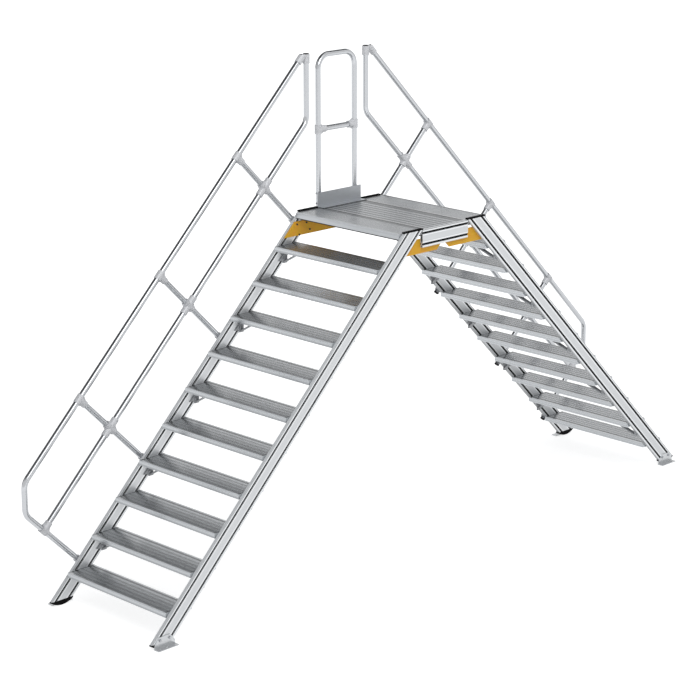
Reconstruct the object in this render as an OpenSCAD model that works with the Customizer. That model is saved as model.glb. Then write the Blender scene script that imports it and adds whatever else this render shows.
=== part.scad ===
// Crossover stairs: two straight flights climb to a bridge platform between them.
// The far side carries tube handrails, a guard hoop and a toe board; the near side is open.
// Millimetres. X runs along the walking line, Y across it with the railings on +Y, Z is up.
// The origin lies on the floor under the middle of the bridge.

/* [Flights] */
// Height of one step
rise = 212; // [195:1:225]
// Horizontal run of one step
going = 212; // [200:1:240]
// Treads in each flight, the platform not counted
tread_count = 10; // [6:1:12]
// Clear width between the stringers
clear_w = 1000; // [800:10:1200]

/* [Treads] */
// Depth of a tread from its nosing to its rear face
tread_d = 220; // [205:1:240]
// Height of a tread's nosing and rear lip
tread_h = 34; // [28:1:40]
// Thickness of the ribbed deck
deck_t = 4; // [3.5:0.5:6]
// Thickness of lips, webs and their feet
web_t = 2.5; // [2:0.5:4]
// Radius of the round nosing
nose_r = 7; // [4:0.5:10]
// Distance between the grooves in the deck
groove_pitch = 10; // [8:0.5:14]
// Width of a groove in the deck
groove_w = 3; // [2:0.5:4]
// Depth of a groove in the deck
groove_depth = 1.6; // [1:0.1:2.5]
// Width of the foot under each web
web_foot_w = 30; // [20:1:40]
// Thickness of the cheek plate that closes each end
cheek_t = 3; // [2:0.5:5]

/* [Stringers] */
// Depth of the stringer section, square to the slope
stringer_depth = 124; // [110:1:150]
// Thickness of the stringer section
stringer_t = 22; // [20:1:30]
// How far the nosings stand out in front of the stringers, square to the slope
nosing_out = 26; // [15:1:35]
// Wall of the hollow section
section_wall = 2.5; // [2:0.5:3.5]
// Corner radius of the section
section_r = 2; // [1:0.5:3]
// Distance between the two slots on each face
slot_pitch = 78; // [70:1:88]
// Width of a slot's mouth
slot_mouth = 9; // [7:0.5:11]
// Width of the undercut behind the mouth
slot_cavity_w = 15; // [13:0.5:17]
// Depth of a slot
slot_depth = 6.5; // [5:0.5:7.5]
// Thickness of the lips beside the mouth
slot_lip = 2.5; // [2:0.5:3]

/* [Platform] */
// Platform length from nosing to nosing
platform_len = 884; // [860:2:1300]
// Height of the platform planks
plank_h = 45; // [40:1:52]
// Depth of the two outer planks
outer_plank_d = 242; // [220:1:260]
// Open joint between two planks
plank_gap = 3; // [1:0.5:5]
// Shortfall of each side beam's end from the stringer
beam_gap = 0.5; // [0.2:0.1:2]

/* [Gussets] */
// Thickness of a gusset plate
gusset_t = 6; // [4:0.5:8]
// Top edge of the gussets under the platform surface
gusset_top = 65; // [58:1:80]
// Bottom edge of the gussets under the platform surface
gusset_bottom = 167; // [150:1:190]
// Distance of the gusset's slanted edge from the front of the stringer
gusset_inset = 11; // [5:1:20]
// Space between two gussets at the middle of the bridge
gusset_split = 12; // [4:1:30]
// Depth of the straight part of a gusset's inner edge
gusset_straight = 46; // [30:1:60]

/* [Caps and feet] */
// Thickness of the cap plates on the stringers
cap_t = 10; // [4:0.5:12]
// Overhang of a cap plate at each end
cap_over = 5; // [2:0.5:8]
// Height of the shoe under a stringer
shoe_h = 36; // [28:1:50]
// Overhang of a shoe at each end
shoe_over = 3; // [1:0.5:6]
// Radius of the rocker under a shoe
shoe_r = 160; // [140:1:260]
// Length of a foot bracket
bracket_len = 171; // [130:1:190]
// Height of a foot bracket's upright leaf
bracket_h = 77; // [70:1:110]
// Width of a foot bracket's floor flange, from the stringer out
bracket_w = 48; // [40:1:70]
// Thickness of a foot bracket
bracket_t = 6; // [4:0.5:8]
// Corner cut of the upright leaf, along its length
bracket_cut = 40; // [10:1:50]
// Corner cut of the upright leaf, down its height
bracket_cut_h = 47; // [10:1:50]
// How far a foot bracket stands from the middle of its stringer, towards the bridge
bracket_shift = 13; // [0:1:20]
// Diameter of the anchor hole in each floor flange
anchor_d = 13; // [9:0.5:16]

/* [Tread braces] */
// Middle of a brace's strut at the stringer, behind the nosing of its tread
brace_x = 99; // [90:1:110]
// Width of a brace's strut
brace_w = 34; // [26:1:40]
// Thickness of a brace
brace_t = 8; // [4:0.5:10]
// Lowest edge of a brace under its tread's surface
brace_drop = 131; // [120:1:145]
// How far a brace reaches from the stringer along its tread
brace_reach = 163; // [140:1:200]
// Length of the foot that a brace has under its tread
brace_foot = 34; // [25:1:45]
// How far a brace leans to the back of its tread
brace_lean = 80; // [60:1:90]
// How far the plate of a brace stands out before the strut, along the slot
brace_tab = 46; // [30:1:55]
// Lower edge of that plate above the lowest edge of the brace
brace_tab_up = 19; // [12:1:26]
// How far the plate of a brace stands out on both sides of the strut
brace_edge = 2; // [1:0.5:4]

/* [Railings] */
// Outer diameter of all tubes
tube_d = 40; // [34:0.5:44]
// Wall of the tubes
tube_wall = 2.5; // [2:0.5:4]
// Middle of the handrail straight above the nosings
hand_h = 978; // [900:1:1050]
// Middle of the knee rail straight above the nosings
knee_h = 476; // [420:1:560]
// Centre-line radius of the bends
bend_r = 100; // [70:1:110]
// Middle of the top riser behind the platform nosing
riser_in = 146; // [140:1:165]
// Handrail's outer end in front of the lowest nosing
rail_run = 294; // [260:1:340]
// First post below the platform nosing, along the slope
post_first = 40; // [30:1:80]
// Distance between posts, along the slope
post_pitch = 1008; // [900:1:1040]
// Distance from the last post to the bent end of the handrail, along the slope
end_pitch = 819; // [740:1:860]
// Length of a post below the stringer's lower edge
post_tail = 14; // [8:1:40]
// Top of the guard hoop above the platform
guard_h = 1098; // [1000:1:1150]
// Middle of the hoop's cross tube above the platform
guard_cross_h = 553; // [450:1:650]
// Middle of each hoop leg from the end of the side beam
hoop_inset = 49; // [45:1:70]
// Length of the hoop's legs below the platform surface
hoop_tail = 112; // [100:1:120]

/* [Clamps] */
// Outer diameter of the cast clamps
clamp_d = 51; // [48:0.5:56]
// Length of the through sleeve of a clamp with one branch
tee_len = 62; // [56:1:80]
// Length of the single branch from the tube's middle
tee_branch = 66; // [55:1:75]
// Length of the through sleeve of a clamp with two branches
cross_len = 140; // [120:1:160]
// Length of each of the two branches from the tube's middle
cross_branch = 47; // [42:1:60]
// Thickness of the webs in a clamp's corners
clamp_web_t = 14; // [8:1:20]
// Reach of the webs beyond the sleeves
clamp_web = 20; // [10:1:24]
// Clearance of a clamp round its tube
clamp_fit = 0.15; // [0.1:0.05:0.3]
// Space between two tubes that meet in a clamp
tube_stop = 1; // [0.5:0.5:3]
// Width of a saddle strap along its tube
saddle_w = 34; // [24:1:44]
// Length of a saddle from ear to ear
saddle_len = 96; // [84:1:110]
// Thickness of a saddle's ears
saddle_t = 5; // [3:0.5:8]
// Thickness of the head of a tube plug
plug_t = 4; // [2:0.5:6]
// Length of a plug's spigot inside its tube
plug_spigot = 14; // [8:1:20]

/* [Toe board] */
// Height of the toe board above the platform
toe_h = 105; // [90:1:150]
// Thickness of the toe board
toe_t = 5; // [3:0.5:6]
// Width of the toe board's floor leg
toe_leg = 66; // [40:1:80]
// Outer face of the toe board behind the inner face of the far beam
toe_set = 16; // [8:1:20]
// Space between the toe board and each cap plate
toe_gap = 8; // [2:1:20]

/* [Hidden] */
$fn = 64;
pitch = atan2(rise, going);
step_len = sqrt(rise * rise + going * going);
platform_h = rise * (tread_count + 1);
nose_x = -platform_len / 2;
half_w = clear_w / 2;
outer_y = half_w + stringer_t;
tube_r = tube_d / 2;
clamp_r = clamp_d / 2;
rail_y = outer_y + tube_r;
fit_d = tube_d + 2 * clamp_fit;
brace_every = 2;
far_out = 4 * (platform_len + going * tread_count);

// Heights square to the slope, in the sloped frame of a flight
hand_n = hand_h * cos(pitch);
knee_n = knee_h * cos(pitch);
stringer_back_n = -(nosing_out + stringer_depth);

// Where the stringer's front and rear edges cross a level, on the left flight
function front_x(z) = nose_x - (platform_h - z) / tan(pitch) + nosing_out / sin(pitch);
function rear_x(z) = front_x(z) + stringer_depth / sin(pitch);
// Nosing of tread number i, counted from the floor
function tread_x(i) = nose_x - (tread_count + 1 - i) * going;
// A point of the left flight in X and Z: s along the slope from the platform nosing, n square to it
function flight_point(s, n) = [
    nose_x + s * cos(pitch) - n * sin(pitch),
    platform_h + s * sin(pitch) + n * cos(pitch)];

post_places = [for (k = [0:2]) -post_first - k * post_pitch];
end_s = -post_first - 2 * post_pitch - end_pitch;
riser_x = nose_x + riser_in;
riser_top_corner = platform_h + hand_h + riser_in * tan(pitch);
riser_knee_corner = platform_h + knee_h + riser_in * tan(pitch);
riser_drop = 0.65 * tube_d;
riser_top = riser_top_corner - riser_drop;
rail_end_x = tread_x(1) - rail_run;
rail_end_top = platform_h + hand_h + (rail_end_x - nose_x) * tan(pitch);
end_n = (nose_x + end_s * cos(pitch) - rail_end_x) / sin(pitch);
rail_end_low = flight_point(end_s, end_n);
beam_half = -rear_x(platform_h) - beam_gap;
hoop_half = beam_half - hoop_inset;
// Distance of the handrail's upper end from the riser's axis, along the slope
rail_stop = (tube_r + tube_stop + tube_r * sin(pitch)) / cos(pitch);
cap_inner_x = rear_x(platform_h) + cap_over;
bracket_x = (front_x(bracket_h / 2) + rear_x(bracket_h / 2)) / 2 + bracket_shift;
braced = [for (i = [tread_count:-brace_every:1]) i];
brace_foot_x = brace_x + brace_lean * (1 - brace_foot / (2 * brace_reach));

function numbered(side, i) = str(side, "_tread_", i < 10 ? "0" : "", i);

// Helpers

module right_side() { mirror([1, 0, 0]) children(); }
module both_flights() { children(); right_side() children(); }
module both_sides() { children(); mirror([0, 1, 0]) children(); }

// Sloped frame of the left flight: X up the slope, Z square to it, from the platform nosing
module sloped() { translate([nose_x, 0, platform_h]) rotate([0, -pitch, 0]) children(); }

// Extrusion of a Y-Z outline along X, from the origin
module along_x(length) { rotate([90, 0, 90]) linear_extrude(length) children(); }

// Extrusion of an X-Z outline along Y, centred
module along_y(length) { rotate([90, 0, 0]) linear_extrude(length, center = true) children(); }

module rounded_bar(w, h, r) {
    translate([r, 0]) square([w - 2 * r, h]);
    translate([0, r]) square([w, h - 2 * r]);
    for (x = [r, w - r], y = [r, h - r]) translate([x, y]) circle(r);
}

// Hollow slotted section shared by the stringers and the side beams; its depth runs up the page
module slotted_section() {
    slot_y = [(stringer_depth - slot_pitch) / 2, (stringer_depth + slot_pitch) / 2];
    edge_room = slot_y[0] - slot_cavity_w / 2 - 2 * section_wall;
    middle_room = slot_pitch - slot_cavity_w - 2 * section_wall;
    inner_w = stringer_t - 2 * section_wall;
    difference() {
        rounded_bar(stringer_t, stringer_depth, section_r);
        translate([section_wall, section_wall]) square([inner_w, edge_room]);
        translate([section_wall, stringer_depth - section_wall - edge_room]) square([inner_w, edge_room]);
        translate([section_wall, (stringer_depth - middle_room) / 2]) square([inner_w, middle_room]);
        for (y = slot_y, face = [0, 1])
            translate([face * stringer_t, y]) mirror([face, 0]) {
                translate([-1, -slot_mouth / 2]) square([slot_lip + 2, slot_mouth]);
                translate([slot_lip, -slot_cavity_w / 2]) square([slot_depth - slot_lip, slot_cavity_w]);
            }
    }
}

// Outline of a tread or plank end: nosing at the origin, surface at zero
module plank_outline(depth, height, nosed) {
    r = nosed ? nose_r : 0;
    translate([r, -height]) square([depth - r, height]);
    if (nosed) {
        translate([0, -height]) square([r + 1, height - r]);
        translate([r, -r]) circle(r);
    }
}

// Ribbed extrusion open below: lips front and rear, webs on broad feet between them
module plank_section(depth, height, nosed, webs) {
    first_groove = (nosed ? 2 * nose_r : 0) + groove_pitch - groove_w;
    intersection() {
        plank_outline(depth, height, nosed);
        difference() {
            union() {
                translate([0, -deck_t]) square([depth, deck_t]);
                if (nosed) translate([nose_r, -nose_r]) circle(nose_r);
                for (x = [0, depth - web_t]) translate([x, -height]) square([web_t, height]);
                for (x = [0, depth - web_foot_w / 2]) translate([x, -height]) square([web_foot_w / 2, web_t]);
                for (x = webs) {
                    translate([x - web_t / 2, -height]) square([web_t, height]);
                    translate([x - web_foot_w / 2, -height]) square([web_foot_w, web_t]);
                }
            }
            for (x = [first_groove:groove_pitch:depth - groove_pitch])
                translate([x, -groove_depth]) square([groove_w, groove_depth + 1]);
            translate([depth - 1, -height / 2 - groove_w / 2]) square([2, groove_w]);
        }
    }
}

// Plank with its end cheeks, across the full clear width
module plank(depth, height, nosed, webs) {
    along_y(clear_w) plank_section(depth, height, nosed, webs);
    both_sides() translate([0, half_w - cheek_t / 2, 0])
        along_y(cheek_t) translate([0, -groove_depth]) plank_outline(depth - groove_depth, height - groove_depth, nosed);
}

module ring(d, wall) { difference() { circle(d = d); circle(d = d - 2 * wall); } }

// Bent tube in the plane of the railing, through the given X-Z points, with round bends
function unit(v) = v / norm(v);
function heading(points, i) = atan2(points[i + 1][0] - points[i][0], points[i + 1][1] - points[i][1]);
function wrapped(a) = a > 180 ? a - 360 : (a < -180 ? a + 360 : a);
function turn_at(points, i) = wrapped(heading(points, i) - heading(points, i - 1));
function bend_cut(points, i) =
    i == 0 || i == len(points) - 1 ? 0 : bend_r * tan(abs(turn_at(points, i)) / 2);
function straight_len(points, i) =
    norm(points[i + 1] - points[i]) - bend_cut(points, i) - bend_cut(points, i + 1);

// Quarter or part of a bend that starts along local Z and leans towards local X
module bend(sweep) {
    translate([bend_r, 0, 0]) rotate([90, 0, 180])
        rotate_extrude(angle = sweep) translate([bend_r, 0]) ring(tube_d, tube_wall);
}

// Straight number i along local Z, then its bend and the rest of the tube
module tube_from(points, i) {
    length = straight_len(points, i);
    linear_extrude(length) ring(tube_d, tube_wall);
    if (i < len(points) - 2) {
        turn = turn_at(points, i + 1);
        side = turn < 0 ? 180 : 0;
        sweep = abs(turn);
        translate([0, 0, length]) rotate([0, 0, side]) {
            bend(sweep);
            translate([bend_r * (1 - cos(sweep)), 0, bend_r * sin(sweep)]) rotate([0, sweep, 0])
                rotate([0, 0, side]) tube_from(points, i + 1);
        }
    }
}
module bent_tube(points) {
    translate([points[0][0], rail_y, points[0][1]]) rotate([0, heading(points, 0), 0]) tube_from(points, 0);
}

// Rod between two X-Z points in the plane of the railing
module rod_between(a, b, d) {
    u = unit(b - a);
    translate([a[0], rail_y, a[1]]) rotate([0, atan2(u[0], u[1]), 0]) cylinder(d = d, h = norm(b - a));
}

// Cast clamp: a through sleeve at a point, branches towards the given headings, webs in its corners
module tube_clamp(at, through, branches, length, reach) {
    difference() {
        union() {
            rod_between(at - through * length / 2, at + through * length / 2, clamp_d);
            for (b = branches) {
                rod_between(at, at + b * reach, clamp_d);
                translate([at[0], rail_y, at[1]]) along_y(clamp_web_t) polygon([
                    -through * (clamp_r + clamp_web), through * (clamp_r + clamp_web),
                    through * clamp_r + b * (clamp_r + clamp_web), b * (clamp_r + clamp_web) - through * clamp_r]);
            }
        }
        rod_between(at - through * length, at + through * length, fit_d);
        for (b = branches) rod_between(at, at + b * (reach + 1), fit_d);
    }
}

up_slope = [cos(pitch), sin(pitch)];
off_slope = [-sin(pitch), cos(pitch)];

// Stringers

module left_stringer() {
    top_room = stringer_depth + nosing_out + stringer_t;
    run = step_len * (tread_count + 1) + 2 * top_room;
    intersection() {
        sloped() translate([top_room - run, half_w, stringer_back_n]) along_x(run) slotted_section();
        translate([-far_out / 2, 0, shoe_h]) cube([far_out, outer_y + 1, platform_h - shoe_h]);
    }
}
module left_stringer_far() { color("gainsboro") left_stringer(); }
module left_stringer_near() { color("gainsboro") mirror([0, 1, 0]) left_stringer(); }
module right_stringer_far() { color("gainsboro") right_side() left_stringer(); }
module right_stringer_near() { color("gainsboro") right_side() mirror([0, 1, 0]) left_stringer(); }

// Treads and platform

module left_tread(i) {
    webs = [brace_foot_x / 3, brace_foot_x * 2 / 3, brace_foot_x];
    color("silver") translate([tread_x(i), 0, i * rise]) plank(tread_d, tread_h, true, webs);
}

middle_plank_d = platform_len - 2 * outer_plank_d - 2 * plank_gap;

module outer_plank() {
    webs = [outer_plank_d / 3, outer_plank_d * 2 / 3];
    color("silver") translate([nose_x, 0, platform_h]) plank(outer_plank_d, plank_h, true, webs);
}
module platform_plank_left() { outer_plank(); }
module platform_plank_right() { right_side() outer_plank(); }
module platform_plank_middle() {
    webs = [for (k = [1:4]) middle_plank_d * k / 5];
    color("darkgray") translate([-middle_plank_d / 2, 0, platform_h]) plank(middle_plank_d, plank_h, false, webs);
}

module side_beam_far() {
    color("gainsboro") translate([-beam_half, half_w, platform_h - stringer_depth])
        along_x(2 * beam_half) slotted_section();
}
module side_beam_near() { mirror([0, 1, 0]) side_beam_far(); }

// Gussets, caps and feet

module left_gusset() {
    z_top = platform_h - gusset_top;
    z_low = platform_h - gusset_bottom;
    inner_x = -gusset_split / 2;
    z_knee = z_top - gusset_straight;
    translate([0, half_w - gusset_t / 2, 0]) along_y(gusset_t) polygon([
        [front_x(z_top) + gusset_inset, z_top], [inner_x, z_top], [inner_x, z_knee],
        [inner_x - (z_knee - z_low) / tan(pitch), z_low], [front_x(z_low) + gusset_inset, z_low]]);
}
module gusset_plates() { color("goldenrod") both_flights() both_sides() left_gusset(); }

module left_cap() {
    x0 = front_x(platform_h) - cap_over;
    translate([x0, half_w, platform_h]) cube([cap_inner_x - x0, stringer_t, cap_t]);
}
module top_caps() { color("black") both_flights() both_sides() left_cap(); }

module left_shoe() {
    x0 = front_x(shoe_h) - shoe_over;
    x1 = rear_x(shoe_h) + shoe_over;
    intersection() {
        translate([x0, half_w, 0]) cube([x1 - x0, stringer_t, shoe_h]);
        translate([(x0 + x1) / 2, half_w - 1, shoe_r]) rotate([-90, 0, 0])
            cylinder(r = shoe_r, h = stringer_t + 2, $fn = 96);
    }
}
module foot_shoes() { color("black") both_flights() both_sides() left_shoe(); }

anchor_y = outer_y + (bracket_t + bracket_w) / 2;
module left_bracket() {
    half = bracket_len / 2;
    difference() {
        union() {
            translate([bracket_x, outer_y + bracket_t / 2, 0]) along_y(bracket_t) polygon([
                [-half, 0], [half, 0], [half, bracket_h - bracket_cut_h], [half - bracket_cut, bracket_h],
                [bracket_cut - half, bracket_h], [-half, bracket_h - bracket_cut_h]]);
            translate([bracket_x - half, outer_y, 0]) cube([bracket_len, bracket_w, bracket_t]);
        }
        translate([bracket_x, anchor_y, -1]) cylinder(d = anchor_d, h = bracket_t + 2);
    }
}
module foot_brackets() { color("silver") both_flights() both_sides() left_bracket(); }

// Braces: a plate along the stringer's slot, a leaning strut and a foot under the tread

module left_brace(i) {
    foot_z = -tread_h - brace_t;
    slant = atan2(brace_drop + foot_z, brace_reach - brace_foot);
    strut_h = brace_t / cos(slant);
    root_y = -brace_t / 2;
    root_z = -brace_drop - root_y * tan(slant);
    tab_z = brace_tab_up - brace_drop;
    plate_z = min(foot_z, tab_z + (brace_tab + brace_w / 2) * tan(pitch));
    plate_x = (plate_z - tab_z) / tan(pitch) - brace_tab;
    lean = brace_lean / brace_reach;
    translate([tread_x(i) + brace_x - brace_w / 2, half_w, i * rise]) {
        intersection() {
            along_x(brace_w + brace_lean) polygon([
                [root_y, root_z], [brace_foot - brace_reach, foot_z], [-brace_reach, foot_z],
                [-brace_reach, -tread_h], [(strut_h + tread_h - brace_drop) / tan(slant), -tread_h],
                [root_y, root_z + strut_h]]);
            translate([0, 0, -brace_drop]) linear_extrude(brace_drop) polygon([
                [0, 0], [brace_w, 0], [brace_w, -brace_t], [brace_w + brace_lean + lean, -brace_reach - 1],
                [brace_lean + lean, -brace_reach - 1], [0, -brace_t]]);
        }
        translate([0, -brace_t / 2, 0]) along_y(brace_t) polygon([
            [-brace_edge, -brace_drop], [brace_w + brace_edge, -brace_drop], [brace_w + brace_edge, plate_z],
            [plate_x, plate_z], [-brace_tab, tab_z], [-brace_edge, tab_z]]);
    }
}
module tread_braces() { color("silver") both_flights() both_sides() for (i = braced) left_brace(i); }

// Railings

module toe_board() {
    half = -cap_inner_x - toe_gap;
    outer = half_w + toe_set;
    color("darkgray") translate([-half, 0, platform_h]) {
        translate([0, outer - toe_t, 0]) cube([2 * half, toe_t, toe_h]);
        translate([0, outer - toe_leg, 0]) cube([2 * half, toe_leg, toe_t]);
    }
}

guard_foot_z = platform_h - hoop_tail;
guard_top_z = platform_h + guard_h - tube_r;
guard_cross_z = platform_h + guard_cross_h;
module guard_hoop() {
    x = hoop_half;
    color("lightgray") bent_tube([[-x, guard_foot_z], [-x, guard_top_z], [x, guard_top_z], [x, guard_foot_z]]);
}
module guard_cross_tube() {
    x = hoop_half - tube_r - tube_stop;
    color("lightgray") translate([-x, rail_y, guard_cross_z]) along_x(2 * x) ring(tube_d, tube_wall);
}

post_foot_n = stringer_back_n - post_tail;
module handrail() {
    upper = [riser_x, riser_top_corner] - rail_stop * up_slope;
    bent_tube([upper, [rail_end_x, rail_end_top], rail_end_low, flight_point(end_s, post_foot_n)]);
}
module knee_rail() {
    lower = flight_point(end_s + tube_r + tube_stop, knee_n);
    bent_tube([lower, [riser_x, riser_knee_corner], [riser_x, riser_top]]);
}
module left_handrail() { color("lightgray") handrail(); }
module right_handrail() { color("lightgray") right_side() handrail(); }
module left_knee_rail() { color("lightgray") knee_rail(); }
module right_knee_rail() { color("lightgray") right_side() knee_rail(); }

// Each post stops at the knee rail and goes on above it
module left_post(s) {
    gap = tube_r + tube_stop;
    for (n = [[post_foot_n, knee_n - gap], [knee_n + gap, hand_n - gap]]) {
        foot = flight_point(s, n[0]);
        translate([foot[0], rail_y, foot[1]]) rotate([0, -pitch, 0])
            linear_extrude(n[1] - n[0]) ring(tube_d, tube_wall);
    }
}
module rail_posts() { color("lightgray") both_flights() for (s = post_places) left_post(s); }

// Corner clamp that joins the handrail's upper end to the riser
module corner_clamp() {
    axis = [riser_x, riser_top_corner];
    difference() {
        union() {
            rod_between([riser_x, riser_top - tee_branch], [riser_x, riser_top], clamp_d);
            intersection() {
                rod_between(axis - (rail_stop + tee_branch) * up_slope, axis, clamp_d);
                translate([riser_x - far_out, 0, 0]) cube([far_out, far_out, riser_top]);
            }
        }
        rod_between([riser_x, riser_top - 2 * tee_branch], [riser_x, riser_top + clamp_d], fit_d);
        rod_between(axis - (rail_stop + 2 * tee_branch) * up_slope, axis - (rail_stop - tube_stop) * up_slope, fit_d);
    }
}
module left_clamps() {
    for (s = post_places) {
        tube_clamp(flight_point(s, hand_n), up_slope, [-off_slope], tee_len, tee_branch);
        tube_clamp(flight_point(s, knee_n), up_slope, [-off_slope, off_slope], cross_len, cross_branch);
    }
    tube_clamp(flight_point(end_s, knee_n), off_slope, [up_slope], tee_len, tee_branch);
    corner_clamp();
    tube_clamp([-hoop_half, guard_cross_z], [0, 1], [[1, 0]], tee_len, tee_branch);
}
module rail_clamps() { color("silver") both_flights() left_clamps(); }

// Saddle strap over a tube that stands on the outer face; the tube's axis is local Z
module saddle() {
    difference() {
        union() {
            intersection() {
                translate([0, 0, -saddle_w / 2]) cylinder(d = clamp_d, h = saddle_w);
                translate([-clamp_d, -tube_r, -saddle_w]) cube([2 * clamp_d, 2 * clamp_d, 2 * saddle_w]);
            }
            translate([-saddle_len / 2, -tube_r, -saddle_w / 2]) cube([saddle_len, saddle_t, saddle_w]);
        }
        translate([0, 0, -saddle_w]) cylinder(d = fit_d, h = 2 * saddle_w);
    }
}
slot_n = [for (side = [-1, 1]) -nosing_out - (stringer_depth + side * slot_pitch) / 2];
module left_saddles() {
    for (s = concat(post_places, [end_s]), n = slot_n) {
        at = flight_point(s, n);
        translate([at[0], rail_y, at[1]]) rotate([0, -pitch, 0]) saddle();
    }
    for (side = [-1, 1])
        translate([-hoop_half, rail_y, platform_h - (stringer_depth + side * slot_pitch) / 2]) saddle();
}
module post_saddles() { color("silver") both_flights() left_saddles(); }

// Plug whose head closes a tube's end; the tube runs along local -Z from the origin
module plug() {
    cylinder(d = tube_d, h = plug_t);
    translate([0, 0, -plug_spigot]) cylinder(d = tube_d - 2 * tube_wall, h = plug_spigot);
}
module left_plugs() {
    translate([riser_x, rail_y, riser_top]) plug();
    for (s = concat(post_places, [end_s])) {
        at = flight_point(s, post_foot_n);
        translate([at[0], rail_y, at[1]]) rotate([0, 180 - pitch, 0]) plug();
    }
    translate([-hoop_half, rail_y, guard_foot_z]) rotate([0, 180, 0]) plug();
}
module tube_plugs() { color("black") both_flights() left_plugs(); }

left_stringer_near();
left_stringer_far();
right_stringer_near();
right_stringer_far();
for (i = [1:tread_count]) {
    left_tread(i);
    right_side() left_tread(i);
}
platform_plank_left();
platform_plank_middle();
platform_plank_right();
side_beam_near();
side_beam_far();
gusset_plates();
top_caps();
foot_shoes();
foot_brackets();
tread_braces();
toe_board();
guard_hoop();
guard_cross_tube();
left_handrail();
left_knee_rail();
right_handrail();
right_knee_rail();
rail_posts();
rail_clamps();
post_saddles();
tube_plugs();
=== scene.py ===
"""Crossover stairs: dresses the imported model, adds its fasteners, and sets the studio and the camera."""

import logging
import math
from dataclasses import dataclass, field
from enum import Enum
from typing import Any

import bmesh
import bpy
from mathutils import Matrix, Vector


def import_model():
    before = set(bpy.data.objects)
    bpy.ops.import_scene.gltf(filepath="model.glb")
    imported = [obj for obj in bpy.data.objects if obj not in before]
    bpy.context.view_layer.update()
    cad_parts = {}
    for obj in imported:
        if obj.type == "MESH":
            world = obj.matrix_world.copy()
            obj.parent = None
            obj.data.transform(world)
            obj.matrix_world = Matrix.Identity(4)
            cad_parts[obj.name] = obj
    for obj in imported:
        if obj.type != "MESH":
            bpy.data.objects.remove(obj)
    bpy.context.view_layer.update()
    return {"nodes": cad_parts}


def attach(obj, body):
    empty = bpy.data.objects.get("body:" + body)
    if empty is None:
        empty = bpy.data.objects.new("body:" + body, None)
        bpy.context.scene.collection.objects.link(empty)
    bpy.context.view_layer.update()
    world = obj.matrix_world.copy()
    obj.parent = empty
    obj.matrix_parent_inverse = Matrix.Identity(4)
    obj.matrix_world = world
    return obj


frame: dict[str, Any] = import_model()

log = logging.getLogger("crossover_stairs")

Colour = tuple[float, float, float]
Span = tuple[float, float]
Seat = tuple[Vector, Vector]


class Run(Enum):
    """Way that a slotted profile lies."""

    SLOPE = "slope"
    LEVEL = "level"


class Side(Enum):
    """Flight of the stairs."""

    LEFT = "left"
    RIGHT = "right"


class Val:
    """A shader value whose arithmetic adds Math nodes."""

    def __init__(self, shader: "Shader", socket: Any) -> None:
        """Keeps the socket and the shader that it belongs to.

        Args:
            shader: Shader whose tree holds the socket.
            socket: Output socket of a node.
        """
        self.shader = shader
        self.socket = socket

    def _math(self, operation: str, a: Any, b: Any) -> "Val":
        """Adds one Math node.

        Args:
            operation: Math node's operation.
            a: First operand.
            b: Second operand.

        Returns:
            The node's value.
        """
        return self.shader.node("ShaderNodeMath", {"operation": operation}, {0: a, 1: b})

    def __add__(self, other: Any) -> "Val":
        """Sum."""
        return self._math("ADD", self, other)

    __radd__ = __add__

    def __sub__(self, other: Any) -> "Val":
        """Difference."""
        return self._math("SUBTRACT", self, other)

    def __rsub__(self, other: Any) -> "Val":
        """Reflected difference."""
        return self._math("SUBTRACT", other, self)

    def __mul__(self, other: Any) -> "Val":
        """Product."""
        return self._math("MULTIPLY", self, other)

    __rmul__ = __mul__

    def __truediv__(self, other: Any) -> "Val":
        """Quotient."""
        return self._math("DIVIDE", self, other)

    def __rtruediv__(self, other: Any) -> "Val":
        """Reflected quotient."""
        return self._math("DIVIDE", other, self)

    def __abs__(self) -> "Val":
        """Absolute value."""
        return self._math("ABSOLUTE", self, 0.0)

    def __gt__(self, other: Any) -> "Val":
        """One where the value is greater."""
        return self._math("GREATER_THAN", self, other)

    def ceil(self) -> "Val":
        """Next whole number."""
        return self._math("CEIL", self, 0.0)

    def wave(self, length: float) -> "Val":
        """Sine between zero and one that repeats over a length."""
        return self._math("SINE", self * (2 * math.pi / length), 0.0) * 0.5 + 0.5

    def ramp(self, low: float, high: float) -> "Val":
        """Smooth step from zero at low to one at high.

        Args:
            low: Value that gives zero.
            high: Value that gives one.

        Returns:
            The stepped value.
        """
        settings = {"interpolation_type": "SMOOTHSTEP"}
        return self.shader.node("ShaderNodeMapRange", settings, {0: self, 1: low, 2: high})

    def band(self, middle: float, edge: Span) -> "Val":
        """Stripe of ones around a middle.

        Args:
            middle: Value in the middle of the stripe.
            edge: Distances from the middle between which the stripe fades out.

        Returns:
            The stripe.
        """
        return 1 - abs(self - middle).ramp(*edge)


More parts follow.
